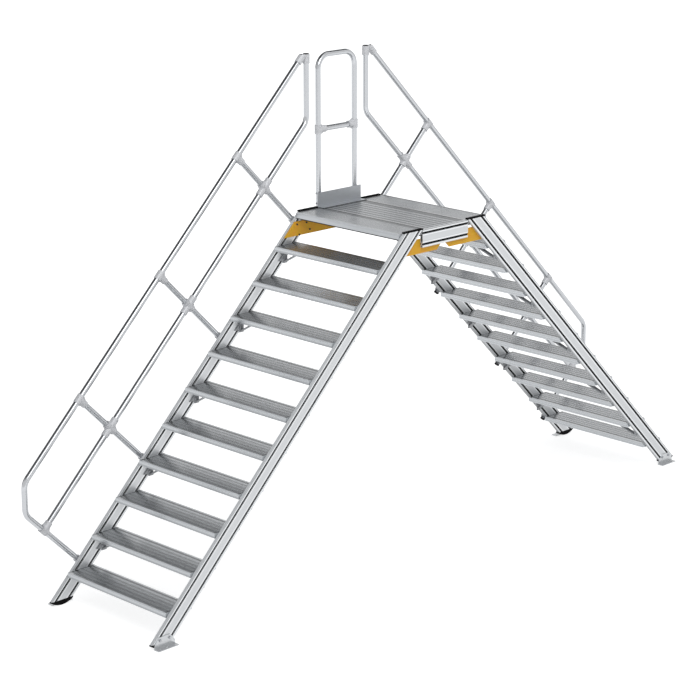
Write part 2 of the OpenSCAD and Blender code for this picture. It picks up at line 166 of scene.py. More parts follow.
class Shader:
    """Node tree of one material or of the world."""

    def __init__(self, owner: Any) -> None:
        """Empties the owner's node tree.

        Args:
            owner: Material or world.
        """
        owner.use_nodes = True
        self.owner = owner
        self.tree = owner.node_tree
        self.tree.nodes.clear()

    def node(self, kind: str, settings: dict[str, Any] | None = None, inputs: dict[Any, Any] | None = None,
             output: Any = 0) -> Val:
        """Adds a node.

        Args:
            kind: Node's type.
            settings: Attributes, set before the sockets.
            inputs: Values or links by socket name or number.
            output: Name or number of the socket that is returned.

        Returns:
            The chosen output.
        """
        made = self.tree.nodes.new(kind)
        for key, value in (settings or {}).items():
            setattr(made, key, value)
        for key, value in (inputs or {}).items():
            if isinstance(value, Val):
                self.tree.links.new(value.socket, made.inputs[key])
            else:
                made.inputs[key].default_value = value
        return Val(self, made.outputs[output])

    def mix(self, factor: Any, a: Any, b: Any) -> Val:
        """Mixes two colours.

        Args:
            factor: Share of the second colour.
            a: First colour.
            b: Second colour.

        Returns:
            The mixed colour.
        """
        sockets = {0: factor, 6: rgba(a), 7: rgba(b)}
        return self.node("ShaderNodeMix", {"data_type": "RGBA"}, sockets, 2)

    def part(self, vector: Val, axis: str) -> Val:
        """One component of a vector.

        Args:
            vector: Vector to split.
            axis: X, Y or Z.

        Returns:
            The component.
        """
        return self.node("ShaderNodeSeparateXYZ", None, {0: vector}, axis)

    def parts(self, vector: Val) -> tuple[Val, Val, Val]:
        """All three components of a vector."""
        return self.part(vector, "X"), self.part(vector, "Y"), self.part(vector, "Z")

    def place(self) -> Val:
        """Position on the object, in metres."""
        return self.node("ShaderNodeTexCoord", None, None, "Object")

    def xyz(self) -> tuple[Val, Val, Val]:
        """Position on the object as three values, in metres."""
        return self.parts(self.place())

    def normal(self) -> Val:
        """True normal of the surface."""
        return self.node("ShaderNodeNewGeometry", None, None, "True Normal")

    def noise(self, vector: Val, scale: float = 1.0, detail: float = 3.0, rough: float = 0.55) -> Val:
        """Noise between zero and one.

        Args:
            vector: Place to read it at.
            scale: Cells in a unit of the vector.
            detail: Octaves.
            rough: Weight of the finer octaves.

        Returns:
            The noise.
        """
        return self.node("ShaderNodeTexNoise", None,
                         {"Vector": vector, "Scale": scale, "Detail": detail, "Roughness": rough})

    def vector(self, x: Any, y: Any, z: Any) -> Val:
        """Vector of three values.

        Args:
            x: First component.
            y: Second component.
            z: Third component.

        Returns:
            The vector.
        """
        return self.node("ShaderNodeCombineXYZ", None, {0: x, 1: y, 2: z})

    def bump(self, height: Val, strength: float, distance: float) -> Val:
        """Bumped normal.

        Args:
            height: Height between zero and one.
            strength: Share of the effect.
            distance: Depth in metres.

        Returns:
            The normal.
        """
        return self.node("ShaderNodeBump", None, {"Strength": strength, "Distance": distance, "Height": height})

    def surface(self, **sockets: Any) -> None:
        """Adds the surface shader and the output.

        Args:
            sockets: Values or links by socket name, underscores for spaces.
        """
        named = {key.replace("_", " "): value for key, value in sockets.items()}
        self.output(self.node("ShaderNodeBsdfPrincipled", None, named))

    def output(self, surface: Val, kind: str = "ShaderNodeOutputMaterial") -> None:
        """Links a shader to the tree's output.

        Args:
            surface: Shader to link.
            kind: Type of the output node.
        """
        out = self.tree.nodes.new(kind)
        self.tree.links.new(surface.socket, out.inputs["Surface"])


def rgba(colour: Any) -> Any:
    """Adds alpha to a plain colour and leaves a link as it is."""
    return (*colour, 1.0) if isinstance(colour, tuple) and len(colour) == 3 else colour


def grey(value: float) -> Colour:
    """Neutral colour of one linear value."""
    return (value, value, value)


def srgb(r: int, g: int, b: int) -> Colour:
    """Linear colour from display values of 0 to 255.

    Args:
        r: Red.
        g: Green.
        b: Blue.

    Returns:
        The linear colour.
    """
    def linear(c: float) -> float:
        """Linear value of one channel."""
        return c / 12.92 if c <= 0.04045 else ((c + 0.055) / 1.055) ** 2.4
    return (linear(r / 255), linear(g / 255), linear(b / 255))


def shade(colour: Colour, factor: float) -> Colour:
    """Colour made lighter or darker, at most white."""
    return (min(1.0, colour[0] * factor), min(1.0, colour[1] * factor), min(1.0, colour[2] * factor))


@dataclass(frozen=True)
class Stair:
    """Sizes of the stairs in metres, as they stand in the part's source.

    Attributes:
        rise: Height of one step.
        going: Horizontal run of one step.
        tread_count: Treads in each flight, the platform not counted.
        half_w: Half the clear width between the stringers.
        platform_len: Length of the platform from nosing to nosing.
        tread_h: Height of a tread's section.
        stringer_t: Thickness of a stringer.
        stringer_depth: Depth of a stringer, square to the slope.
        nosing_out: Distance of the nosings from the stringers' front edges.
        slot_pitch: Distance between a stringer's two slots.
        tube_r: Outer radius of the rail tubes.
        outer_plank_d: Depth of an outer platform plank.
        plank_gap: Gap between planks.
    """

    rise: float = 0.212
    going: float = 0.212
    tread_count: int = 10
    half_w: float = 0.5
    platform_len: float = 0.884
    tread_h: float = 0.034
    stringer_t: float = 0.022
    stringer_depth: float = 0.124
    nosing_out: float = 0.026
    slot_pitch: float = 0.078
    tube_r: float = 0.020
    outer_plank_d: float = 0.242
    plank_gap: float = 0.003

    @property
    def platform_h(self) -> float:
        """Height of the platform surface."""
        return self.rise * (self.tread_count + 1)

    @property
    def pitch(self) -> float:
        """Slope of the flights in radians."""
        return math.atan2(self.rise, self.going)

    @property
    def nose_x(self) -> float:
        """Left platform nosing."""
        return -self.platform_len / 2

    @property
    def seam_x(self) -> float:
        """Middle of the seam between two planks, from the middle of the bridge."""
        return self.platform_len / 2 - self.outer_plank_d - self.plank_gap / 2

    @property
    def outer_y(self) -> float:
        """Outer face of the far stringers."""
        return self.half_w + self.stringer_t

    @property
    def rail_y(self) -> float:
        """Plane of the railing."""
        return self.outer_y + self.tube_r

    def front_x(self, z: float) -> float:
        """Front edge of the left stringer at a level."""
        run = (self.platform_h - z) / math.tan(self.pitch)
        return self.nose_x - run + self.nosing_out / math.sin(self.pitch)

    def rear_x(self, z: float) -> float:
        """Rear edge of the left stringer at a level."""
        return self.front_x(z) + self.stringer_depth / math.sin(self.pitch)

    def tread_x(self, number: int) -> float:
        """Nosing of a tread of the left flight."""
        return self.nose_x - (self.tread_count + 1 - number) * self.going

    def slot_n(self, number: int) -> float:
        """Middle of stringer slot 0 or 1, square to the slope from the nosings."""
        return -self.nosing_out - self.stringer_depth / 2 + (0.5 - number) * self.slot_pitch

    def on_flight(self, s: float, n: float, y: float) -> Vector:
        """Point of the left flight.

        Args:
            s: Distance along the slope from the platform nosing.
            n: Distance square to the slope.
            y: Place across.

        Returns:
            The point.
        """
        c, k = math.cos(self.pitch), math.sin(self.pitch)
        return Vector((self.nose_x + s * c - n * k, y, self.platform_h + s * k + n * c))


SIZES = Stair()


@dataclass(frozen=True)
class Finish:
    """Common part of all finishes.

    Attributes:
        name: Material's name.
        slot: Name of the slot that it stands for; not used.
    """

    name: str
    slot: str

    def shader(self) -> Shader:
        """New empty shader with this finish's name."""
        return Shader(bpy.data.materials.new(self.name))

    def make(self) -> bpy.types.Material:
        """Builds the material; every finish does it in its own way."""
        raise NotImplementedError


@dataclass(frozen=True)
class SlottedProfile(Finish):
    """Drawn profile with painted highlights on the ridges beside its two slots, painted shade in and beside the
    slots, painted shade along the front edge and painted light on its narrow faces.

    Attributes:
        run: Way that the profile lies.
        face: Colour of the broad face.
        ridge_highlight: Colour of the painted highlights on the ridges.
        slot_shade: Colour of the painted shade in and beside the slots.
        slot_edge: Fade of a slot, from its middle.
        ridge_off: Distance of each painted highlight from the middle of its slot.
        ridge_edge: Fade of a painted highlight, from its middle.
        corner_shade_edge: Fade of the painted shade along the front edge.
        draw_cells: Cells in a metre across the draw lines.
        run_cells: Cells in a metre along the draw lines.
    """

    run: Run
    face: Colour
    ridge_highlight: Colour
    slot_shade: Colour
    slot_edge: Span = (0.0074, 0.0084)
    ridge_off: float = 0.0130
    ridge_edge: Span = (0.003, 0.006)
    corner_shade_edge: Span = (0.004, 0.008)
    draw_cells: float = 420.0
    run_cells: float = 3.0

    def axes(self, x: Val, z: Val) -> tuple[Val, Val]:
        """Depth from the profile's front or upper edge, and place along it.

        Args:
            x: Place along the walking line.
            z: Height.

        Returns:
            Depth and place along the profile.
        """
        if self.run is Run.LEVEL:
            return SIZES.platform_h - z, x
        c, k = math.cos(SIZES.pitch), math.sin(SIZES.pitch)
        edge = (abs(x) + SIZES.nose_x) * -k - (z - SIZES.platform_h) * c - SIZES.nosing_out
        return edge, z * k - abs(x) * c

    def make(self) -> bpy.types.Material:
        """Builds the material.

        Returns:
            The material.
        """
        s = self.shader()
        x, y, z = s.xyz()
        edge, along = self.axes(x, z)
        away = abs(abs(edge - SIZES.stringer_depth / 2) - SIZES.slot_pitch / 2)
        # Painted shade: black in and beside the two slots, wider than their mouths.
        slot = 1 - away.ramp(*self.slot_edge)
        broad = abs(s.part(s.normal(), "Y")).ramp(0.5, 0.8)
        # Painted highlights on the ridges beside the slots.
        ridge_highlight = away.band(self.ridge_off, self.ridge_edge) * broad
        # Painted shade along the front edge.
        corner = 1 - edge.ramp(*self.corner_shade_edge)
        grain = s.vector(along * self.run_cells, y * self.draw_cells, edge * self.draw_cells)
        lines = s.noise(grain, detail=4.0, rough=0.6)
        cloud = s.noise(s.place(), scale=4.0)
        # Painted light: the narrow faces take this lighter tone, which is also the light end of the grain on
        # the broad faces.
        grain_and_painted_narrow_light = shade(self.face, 1.08)
        plain = s.mix(lines * 0.7 + cloud * 0.3, shade(self.face, 0.86), grain_and_painted_narrow_light)
        bright = s.mix(lines, shade(self.ridge_highlight, 0.93), self.ridge_highlight)
        drawn = s.mix(corner * broad, s.mix(ridge_highlight, plain, bright), shade(self.face, 0.60))
        drawn = s.mix(broad, grain_and_painted_narrow_light, drawn)
        s.surface(Base_Color=s.mix(slot * broad, drawn, self.slot_shade), Metallic=broad * 0.7,
                  Roughness=0.30 + lines * 0.08 + cloud * 0.06 + slot * 0.3, Normal=s.bump(lines, 0.2, 0.0002))
        return s.owner


@dataclass(frozen=True)
class DeckMarks:
    """Masks that say where a deck's ribs, joints and lips lie.

    Attributes:
        depth: Place across the ribs, in metres.
        number: Count of the tread from the floor, which shifts its grain.
        ribs: Painted shade stripes for the grooves between the ribs; on the platform also an even darker tone
            on the outer planks.
        joint: Dark joint lines; on the platform, painted shade over the seam gaps, wider than the gaps.
        dark: Shaded strips.
        bright: Painted highlight strips.
        rear: Rear lip, painted a little lighter.
        low: Painted shade on the lower part of the front lip.
        groove: Painted shade lines along the lips' grooves.
    """

    depth: Val
    number: Any
    ribs: Val
    joint: Val
    dark: Val
    bright: Any
    rear: Any
    low: Val
    groove: Val


@dataclass(frozen=True)
class RibbedDeck(Finish):
    """Ribbed deck: grey walking surface with painted shade and highlight strips, lips with painted light and
    shade, dark joint lines.

    Attributes:
        top: Colour of the walking surface.
        lip: Colour of the lips, webs and underside.
        line: Colour of the joint lines, and of the painted shade on the lips' lower parts and grooves.
        roughness: Least roughness.
        graze: Tint of the reflection at a grazing angle.
    """

    top: Colour
    lip: Colour
    line: Colour
    roughness: float
    graze: float

    def marks(self, x: Val, y: Val, z: Val) -> DeckMarks:
        """Masks of the deck; treads and the platform have their own."""
        raise NotImplementedError

    def walked(self, s: Shader, marks: DeckMarks, worn: Val) -> Val:
        """Colour of the walking surface: wear, painted shade stripes and strips, painted highlight strips and
        joint lines.

        Args:
            s: Shader of the material.
            marks: Masks of the deck.
            worn: Wear between zero and one.

        Returns:
            The colour.
        """
        shadow = shade(self.top, 0.25)
        colour = s.mix(worn.ramp(0.2, 0.8), shade(self.top, 0.93), shade(self.top, 1.05))
        # Painted shade stripes of the ribs, and the outer planks' darker tone.
        colour = s.mix(marks.ribs * 0.45, colour, shadow)
        colour = s.mix(marks.dark * 0.60, colour, shadow)
        # Painted highlight strips to the right of the platform seams.
        colour = s.mix(marks.bright, colour, shade(self.top, 1.3))
        # Dark joint lines; on the platform they are painted shade over the seam gaps.
        return s.mix(marks.joint * 0.8, colour, self.line)

    def lips(self, s: Shader, marks: DeckMarks, up: Val, fine: Val) -> Val:
        """Colour of the lips, with painted light on the rear lip and painted shade on the front lip's lower
        part, along the grooves and on the underside.

        Args:
            s: Shader of the material.
            marks: Masks of the deck.
            up: Upward part of the normal.
            fine: Fine grain between zero and one.

        Returns:
            The colour.
        """
        colour = s.mix(fine, shade(self.lip, 0.90), shade(self.lip, 1.04))
        # Painted light: the rear lip a little lighter.
        colour = s.mix(marks.rear, colour, shade(self.lip, 1.08))
        # Painted shade on the front lip's lower part and along the lip grooves.
        colour = s.mix(marks.low * 0.5 + marks.groove * 0.25, colour, self.line)
        # Painted shade: faces turned downwards take a darker tone.
        return s.mix(up.ramp(-0.8, -0.5), shade(self.lip, 0.60), colour)

    def make(self) -> bpy.types.Material:
        """Builds the material.

        Returns:
            The material.
        """
        s = self.shader()
        x, y, z = s.xyz()
        up = s.part(s.normal(), "Z")
        flat = up.ramp(0.9, 0.97)
        rounded = up.ramp(0.15, 0.35) * (1 - flat)
        marks = self.marks(x, y, z)
        fine = s.noise(s.vector(marks.depth * 420.0, y * 4.0, marks.number), detail=4.0, rough=0.6)
        streak = s.noise(s.vector(marks.depth * 60.0, y * 2.2, marks.number * 5.3), rough=0.6)
        scuff = s.noise(s.place(), scale=9.0, detail=4.0, rough=0.6)
        walked = self.walked(s, marks, streak * 0.6 + fine * 0.15 + scuff * 0.25)
        # Painted highlight: the rounded nosing takes a much lighter tone than the lip, and is less metallic.
        lip = s.mix(rounded, self.lips(s, marks, up, fine), shade(self.lip, 1.45))
        s.surface(Base_Color=s.mix(flat, lip, walked), Metallic=0.85 - rounded * 0.75,
                  Specular_Tint=rgba(grey(self.graze)), Roughness=self.roughness + fine * 0.04 + scuff * 0.06,
                  Normal=s.bump(fine, 0.1, 0.0002))
        return s.owner


@dataclass(frozen=True)
class TreadDeck(RibbedDeck):
    """Deck of the treads, measured from each tread's nosing.

    Attributes:
        rib_pitch: Distance between ribs.
        rib_start: Place of the first rib behind the nosing.
        rib_shade_tone: Strength of the painted shade stripes for the grooves between ribs.
        joint_in: Distance of the joint lines from the stringers.
        joint_edge: Fade of a joint line.
        nose_strip: Middle of the shaded strip behind the nosing.
        nose_edge: Fade of that strip.
        nose_tone: Strength of that strip.
        rear_strip: Middle of the shaded strip before the rear lip.
        rear_edge: Fade of that strip.
        rear_from: Depths between which the rear half begins.
        low_shade_edge: Fade of the painted shade on the front lip's lower part, from the surface down.
        low_shade_tone: Strength of that painted shade.
        lip_grooves: Two grooves of the rear lip, painted as shade lines, from the surface down.
        groove_edge: Fade of a groove.
    """

    rib_pitch: float = 0.0404
    rib_start: float = 0.020
    rib_shade_tone: float = 0.7
    joint_in: float = 0.011
    joint_edge: Span = (0.003, 0.005)
    nose_strip: float = 0.016
    nose_edge: Span = (0.008, 0.014)
    nose_tone: float = 0.35
    rear_strip: float = 0.194
    rear_edge: Span = (0.005, 0.011)
    rear_from: Span = (0.10, 0.11)
    low_shade_edge: Span = (0.018, 0.026)
    low_shade_tone: float = 0.6
    lip_grooves: Span = (0.007, 0.024)
    groove_edge: Span = (0.001, 0.003)

    def marks(self, x: Val, y: Val, z: Val) -> DeckMarks:
        """Masks of a tread.

        Args:
            x: Place along the walking line.
            y: Place across.
            z: Height.

        Returns:
            The masks.
        """
        number = (z / SIZES.rise - 0.003).ceil()
        depth = (SIZES.tread_count + 1 - number) * SIZES.going - SIZES.nose_x - abs(x)
        drop = number * SIZES.rise - z
        rear = depth.ramp(*self.rear_from)
        upper, lower = (drop.band(middle, self.groove_edge) for middle in self.lip_grooves)
        return DeckMarks(
            depth=depth, number=number,
            ribs=(depth - self.rib_start).wave(self.rib_pitch).ramp(0.3, 0.9) * self.rib_shade_tone,
            joint=abs(y).band(SIZES.half_w - self.joint_in, self.joint_edge),
            dark=depth.band(self.nose_strip, self.nose_edge) * self.nose_tone
            + depth.band(self.rear_strip, self.rear_edge),
            bright=0.0, rear=rear,
            low=drop.ramp(*self.low_shade_edge) * (1 - rear) * self.low_shade_tone,
            groove=(upper + lower) * rear)


@dataclass(frozen=True)
class PlatformDeck(RibbedDeck):
    """Deck of the platform's three planks, measured from the middle of the bridge.

    Attributes:
        rib_pitch: Distance between ribs of the middle plank.
        rib_start: Place of a rib.
        rib_shade_tone: Strength of the painted shade stripes on the middle plank.
        outer_tone: Even tone of the outer planks.
        plain_edge: Plain border of the middle plank, from its seams.
        joint_shift: Shift of the seam lines to the left.
        joint_edge: Fade of a seam line.
        dark_shift: Shift of the shaded strips to the left of the seams.
        dark_edge: Fade of a shaded strip.
        highlight_shift: Shift of the painted highlight strips to the right of the seams.
        highlight_edge: Fade of a painted highlight strip.
        nose_fade: Fade of the shaded right nosing, from its edge.
        low_shade_edge: Fade of the painted shade along the lip's lower edge, from the surface down.
        low_shade_tone: Strength of that painted shade.
        lip_groove: Groove of the lip, painted as a shade line, from the surface down.
        groove_edge: Fade of the groove.
        groove_tone: Strength of the groove's painted shade.
    """

    rib_pitch: float = 0.0497
    rib_start: float = 0.0345
    rib_shade_tone: float = 1.6
    outer_tone: float = 0.35
    plain_edge: Span = (0.04, 0.03)
    joint_shift: float = 0.004
    joint_edge: Span = (0.007, 0.012)
    dark_shift: float = 0.030
    dark_edge: Span = (0.008, 0.016)
    highlight_shift: float = 0.018
    highlight_edge: Span = (0.004, 0.012)
    nose_fade: Span = (0.040, 0.024)
    low_shade_edge: Span = (0.037, 0.040)
    low_shade_tone: float = 2.0
    lip_groove: float = 0.013
    groove_edge: Span = (0.001, 0.004)
    groove_tone: float = 0.4

    def marks(self, x: Val, y: Val, z: Val) -> DeckMarks:
        """Masks of the platform.

        Args:
            x: Place along the walking line.
            y: Place across; not used.
            z: Height.

        Returns:
            The masks.
        """
        drop = SIZES.platform_h - z
        seam, end = SIZES.seam_x, SIZES.platform_len / 2
        middle = 1 - abs(x).ramp(seam - self.plain_edge[0], seam - self.plain_edge[1])
        ribs = (x - self.rib_start).wave(self.rib_pitch).ramp(0.3, 0.9)
        return DeckMarks(
            depth=x, number=0.0,
            ribs=ribs * middle * self.rib_shade_tone + (1 - middle) * self.outer_tone,
            joint=abs(x + self.joint_shift).band(seam, self.joint_edge),
            dark=abs(x + self.dark_shift).band(seam, self.dark_edge)
            + x.ramp(end - self.nose_fade[0], end - self.nose_fade[1]),
            bright=abs(x - self.highlight_shift).band(seam, self.highlight_edge), rear=0.0,
            low=drop.ramp(*self.low_shade_edge) * self.low_shade_tone,
            groove=drop.band(self.lip_groove, self.groove_edge) * self.groove_tone)


@dataclass(frozen=True)
class DrawnMetal(Finish):
    """Drawn tube or rolled sheet with faint clouds and fine draw lines.

    Attributes:
        colour: Base colour.
        stretch: Cells in a metre along X, Y and Z for the draw lines.
        roughness: Mean roughness.
        metallic: Share of metallic reflection.
        contrast: Strength of the lines and clouds.
    """

    colour: Colour
    stretch: tuple[float, float, float]
    roughness: float
    metallic: float
    contrast: float

    def make(self) -> bpy.types.Material:
        """Builds the material.

        Returns:
            The material.
        """
        s = self.shader()
        x, y, z = s.xyz()
        grain = s.vector(x * self.stretch[0], y * self.stretch[1], z * self.stretch[2])
        lines = s.noise(grain, detail=4.0, rough=0.6)
        cloud = s.noise(s.place(), scale=6.0, detail=4.0, rough=0.6)
        dark, light = shade(self.colour, 1 - 2 * self.contrast), shade(self.colour, 1 + self.contrast)
        s.surface(Base_Color=self.with_painted_light_and_shade(s, s.mix(lines * 0.5 + cloud * 0.5, dark, light)),
                  Metallic=self.metallic, Roughness=self.roughness - 0.06 + lines * 0.07 + cloud * 0.05,
                  Normal=s.bump(lines, 0.06, 0.0001))
        return s.owner

    def with_painted_light_and_shade(self, s: Shader, base: Val) -> Val:
        """Drawn colour with the painted light and shade of its piece; a plain tube or sheet has none."""
        return base


@dataclass(frozen=True)
class FoldedSheet(DrawnMetal):
    """Sheet folded to an angle, with painted light on the floor leg's upper side and painted shade on its cut
    edge.

    Attributes:
        leg_t: Thickness of the floor leg.
        leg_light_tone: Tone of the painted light on the leg's upper side.
        cut_shade_tone: Tone of the painted shade on its cut edge.
        cut_shade_fade: Places between which the painted shade on the cut edge ends, inwards of the far
            stringer.
    """

    leg_t: float = 0.005
    leg_light_tone: float = 1.30
    cut_shade_tone: float = 0.20
    cut_shade_fade: Span = (0.040, 0.030)

    def with_painted_light_and_shade(self, s: Shader, base: Val) -> Val:
        """Paints light on the floor leg's upper side and shade on its cut edge.

        Args:
            s: Shader of the material.
            base: Drawn colour.

        Returns:
            The colour with painted light and shade.
        """
        y, z = s.xyz()[1:]
        leg = 1 - (z - SIZES.platform_h).ramp(self.leg_t, 2 * self.leg_t)
        up = s.part(s.normal(), "Z").ramp(0.7, 0.9)
        inner = 1 - (y - SIZES.half_w).ramp(-self.cut_shade_fade[0], -self.cut_shade_fade[1])
        # Painted light: the floor leg's upper side lighter.
        lit = s.mix(leg * up, base, shade(self.colour, self.leg_light_tone))
        # Painted shade on the floor leg's cut edge.
        return s.mix(leg * (1 - up) * inner, lit, shade(self.colour, self.cut_shade_tone))


@dataclass(frozen=True)
class GrainedMoulding(Finish):
    """Moulded plastic with a fine grain.

    Attributes:
        colour: Base colour.
    """

    colour: Colour

    def make(self) -> bpy.types.Material:
        """Builds the material.

        Returns:
            The material.
        """
        s = self.shader()
        grain = s.noise(s.place(), scale=900.0, detail=2.0)
        cloud = s.noise(s.place(), scale=30.0)
        s.surface(Base_Color=s.mix(cloud, shade(self.colour, 0.7), shade(self.colour, 1.4)),
                  Roughness=0.62 + grain * 0.2, Specular_IOR_Level=0.08, Normal=s.bump(grain, 0.4, 0.0002))
        return s.owner


@dataclass(frozen=True)
class CastMetal(Finish):
    """Tumbled casting with a fine pebbled skin.

    Attributes:
        colour: Base colour.
        roughness: Least roughness.
        metallic: Share of metallic reflection.
    """

    colour: Colour
    roughness: float
    metallic: float

    def make(self) -> bpy.types.Material:
        """Builds the material.

        Returns:
            The material.
        """
        s = self.shader()
        skin = s.noise(s.place(), scale=420.0, rough=0.6)
        cloud = s.noise(s.place(), scale=40.0)
        mottle = skin * 0.4 + cloud * 0.6
        s.surface(Base_Color=s.mix(mottle, shade(self.colour, 0.84), shade(self.colour, 1.06)),
                  Metallic=self.metallic, Roughness=self.roughness + skin * 0.12,
                  Normal=s.bump(skin, 0.4, 0.0003))
        return s.owner


@dataclass(frozen=True)
class PassivatedPlate(Finish):
    """Yellow passivated sheet with cloudy tints.

    Attributes:
        colour: Base colour.
        tint: Colour of the clouds.
    """

    colour: Colour
    tint: Colour

    def make(self) -> bpy.types.Material:
        """Builds the material.

        Returns:
            The material.
        """
        s = self.shader()
        x, y, z = s.xyz()
        cloud = s.noise(s.place(), scale=14.0, detail=4.0, rough=0.6)
        fine = s.noise(s.vector(x * 20.0, y * 500.0, z * 500.0), detail=2.0)
        s.surface(Base_Color=s.mix(cloud.ramp(0.35, 0.7), self.colour, self.tint), Metallic=0.1,
                  Roughness=0.46 + fine * 0.14, Normal=s.bump(fine, 0.2, 0.0001))
        return s.owner


# Profile colours: broad face, painted highlight beside the slots, painted shade in the slots.
FACE, RIDGE_HIGHLIGHT, SLOT_SHADE = srgb(208, 210, 212), srgb(234, 236, 238), srgb(2, 2, 3)
SLOPED_PROFILE = SlottedProfile("sloped_profile", "slotted_profile", Run.SLOPE, FACE, RIDGE_HIGHLIGHT, SLOT_SHADE)
LEVEL_PROFILE = SlottedProfile("level_profile", "slotted_profile", Run.LEVEL, FACE, RIDGE_HIGHLIGHT, SLOT_SHADE)
TREAD_DECK = TreadDeck("tread_deck", "ribbed_tread", top=srgb(236, 238, 240), lip=srgb(190, 193, 196),
                       line=srgb(60, 62, 66), roughness=0.18, graze=0.50)
PLATFORM_DECK = PlatformDeck("platform_deck", "ribbed_tread", top=srgb(247, 249, 252), lip=srgb(188, 191, 194),
                             line=srgb(24, 25, 27), roughness=0.26, graze=0.62)
TUBE = DrawnMetal("rail_tube", "rail_tube", srgb(188, 190, 193), stretch=(60.0, 60.0, 60.0),
                  roughness=0.15, metallic=1.0, contrast=0.04)
POLISHED = DrawnMetal("polished_sheet", "sheet_aluminium", srgb(200, 202, 204), stretch=(300.0, 4.0, 40.0),
                      roughness=0.26, metallic=0.8, contrast=0.05)
BRACE = DrawnMetal("strip_steel", "sheet_aluminium", srgb(190, 192, 195), stretch=(4.0, 300.0, 300.0),
                   roughness=0.50, metallic=0.15, contrast=0.08)
TOE_SHEET = FoldedSheet("toe_sheet", "sheet_aluminium", srgb(175, 178, 182), stretch=(4.0, 300.0, 300.0),
                        roughness=0.40, metallic=0.85, contrast=0.06)
CAST = CastMetal("cast_clamp", "cast_clamp", srgb(222, 223, 226), roughness=0.46, metallic=0.25)
ZINC = CastMetal("zinc_fastener", "cast_clamp", srgb(178, 180, 184), roughness=0.32, metallic=0.9)
DARK_ZINC = CastMetal("dark_fastener", "cast_clamp", srgb(62, 62, 66), roughness=0.40, metallic=0.6)
BLACK = GrainedMoulding("black_moulding", "black_plastic", srgb(9, 9, 10))
YELLOW = PassivatedPlate("yellow_plate", "yellow_plate", srgb(238, 184, 34), srgb(242, 172, 46))


@dataclass
class Finishes:
    """All materials of the stairs, made once.

    Attributes:
        made: Materials by the name of their finish.
    """

    made: dict[str, bpy.types.Material] = field(default_factory=dict)

    def get(self, finish: Finish) -> bpy.types.Material:
        """Material of a finish, built on first use.

        Args:
            finish: Finish to build.

        Returns:
            The material.
        """
        if finish.name not in self.made:
            self.made[finish.name] = finish.make()
        return self.made[finish.name]


@dataclass(frozen=True)
class SoftBox:
    """Square soft box aimed at the middle of the stairs.

    Attributes:
        name: Lamp's name.
        place: Where it stands.
        size: Edge of the box.
        power: Watts.
        aim_h: Height that it is aimed at.
    """

    name: str
    place: tuple[float, float, float]
    size: float
    power: float
    aim_h: float = 1.4

    def build(self) -> None:
        """Adds the lamp to the scene."""
        data = bpy.data.lights.new(self.name, "AREA")
        data.shape = "SQUARE"
        data.size = self.size
        data.energy = self.power
        lamp = bpy.data.objects.new(self.name, data)
        bpy.context.scene.collection.objects.link(lamp)
        aim = Vector((0.0, 0.0, self.aim_h)) - Vector(self.place)
        lamp.matrix_world = Matrix.Translation(self.place) @ aim.to_track_quat("-Z", "Y").to_matrix().to_4x4()


